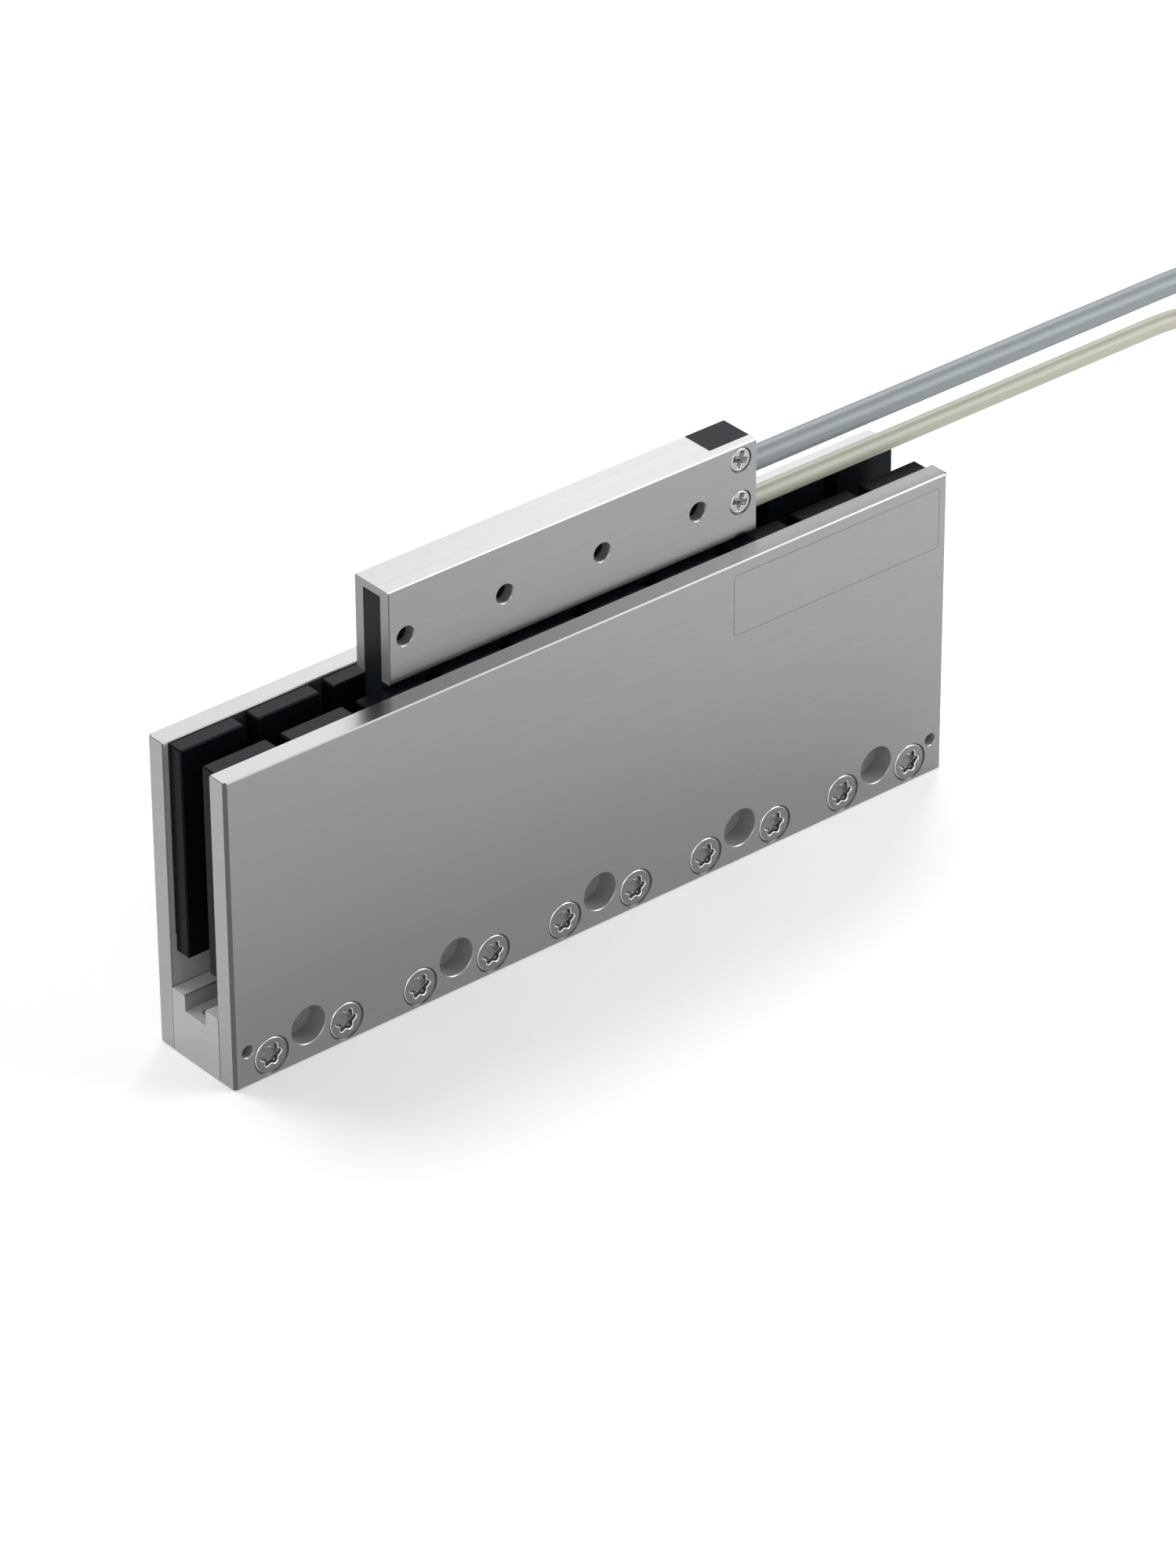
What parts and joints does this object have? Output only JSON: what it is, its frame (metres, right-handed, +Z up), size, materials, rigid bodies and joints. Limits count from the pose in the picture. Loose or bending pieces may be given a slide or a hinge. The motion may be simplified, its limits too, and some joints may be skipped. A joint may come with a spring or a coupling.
{
  "type": "linear motor",
  "caption": "Ironless linear motor: a U-shaped magnet yoke with a potted coil unit that slides along its air gap on two flying cables.",
  "frame": {"origin": "middle of the yoke's underside", "axes": "+X along the yoke, the coil unit's travel, towards the end where the cables leave; +Y across the yoke, towards the rear plate; +Z up"},
  "size_m": [0.5145, 0.0446, 0.1038],
  "materials": {
    "plates": "brushed and nickel plated",
    "spacer": "milled",
    "screws": "polished stainless",
    "magnets": "black epoxy coated",
    "housing": "brushed",
    "block": "moulded",
    "blade": "black epoxy",
    "copper": "enamelled wire",
    "board": "circuit board",
    "power_jacket": "smooth grey sheath",
    "sensor_jacket": "smooth cream sheath",
    "cores": "insulated conductors",
    "tie": "hook and loop strap"
  },
  "bodies": {
    "magnet_yoke": {"front_side_plate": "plates", "rear_side_plate": "plates", "spacer_bar": "spacer", "front_plate_screws": "screws", "rear_plate_screws": "screws", "front_magnet_01": "magnets", "front_magnet_02": "magnets", "front_magnet_03": "magnets", "front_magnet_04": "magnets", "front_magnet_05": "magnets", "front_magnet_06": "magnets", "front_magnet_07": "magnets", "front_magnet_08": "magnets", "front_magnet_09": "magnets", "front_magnet_10": "magnets", "rear_magnet_01": "magnets", "rear_magnet_02": "magnets", "rear_magnet_03": "magnets", "rear_magnet_04": "magnets", "rear_magnet_05": "magnets", "rear_magnet_06": "magnets", "rear_magnet_07": "magnets", "rear_magnet_08": "magnets", "rear_magnet_09": "magnets", "rear_magnet_10": "magnets"},
    "coil_unit": {"coil_housing": "housing", "cable_block": "block", "cable_block_screws": "screws", "blade_core": "blade", "blade_front_skin": "blade", "blade_rear_skin": "blade", "terminal_board": "board", "temperature_sensor": "board", "coil_winding_1": "copper", "coil_winding_2": "copper", "coil_winding_3": "copper", "coil_former_1": "blade", "coil_former_2": "blade", "coil_former_3": "blade", "power_cable": "power_jacket", "sensor_cable": "sensor_jacket", "power_cable_hank": "power_jacket", "sensor_cable_hank": "sensor_jacket", "power_cable_cores": "cores", "sensor_cable_cores": "cores", "hank_tie": "tie"}
  },
  "joints": [
    {"name": "coil_unit_slide", "type": "slide", "parent": "magnet_yoke", "child": "coil_unit", "axis": [1, 0, 0], "range_m": [-0.0515, 0.0515]}
  ]
}
